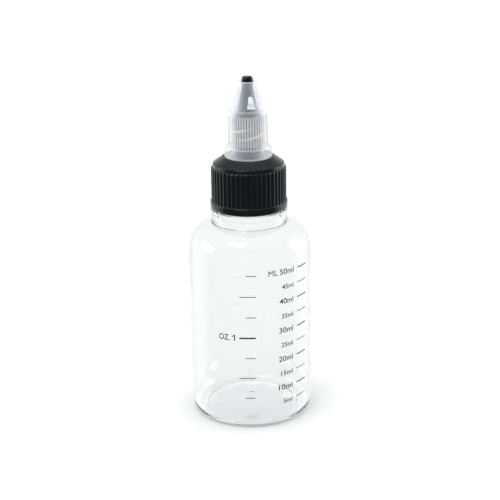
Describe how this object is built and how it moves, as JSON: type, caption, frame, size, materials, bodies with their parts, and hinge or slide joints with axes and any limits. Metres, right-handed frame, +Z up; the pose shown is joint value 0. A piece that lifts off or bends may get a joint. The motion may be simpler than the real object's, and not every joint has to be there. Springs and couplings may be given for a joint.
{
  "type": "graduated squeeze bottle",
  "caption": "Clear round bottle with printed measuring scales, a ribbed screw closure and a twist-open dispensing spout.",
  "frame": {"origin": "centre of the base, on the surface that the bottle stands on", "axes": "+Z up along the bottle's axis, -Y the front with the ounce scale, +X to the right, where the millilitre scale is"},
  "size_m": [0.0378, 0.0378, 0.1063],
  "materials": {
    "clear_plastic": "clear, glossy blown plastic",
    "black_plastic": "black, glossy moulded plastic",
    "frosted_plastic": "natural, translucent moulded plastic"
  },
  "bodies": {
    "bottle_body": {"bottle": "clear_plastic"},
    "closure_body": {"closure": "black_plastic"},
    "spout_body": {"twist_spout": "frosted_plastic"}
  },
  "joints": [
    {"name": "closure_lift", "type": "slide", "parent": "bottle_body", "child": "closure_body", "axis": [0, 0, 1], "range_m": [0, 0.03]},
    {"name": "spout_rise", "type": "slide", "parent": "closure_body", "child": "spout_body", "axis": [0, 0, 1], "range_m": [0, 0.0034]}
  ]
}
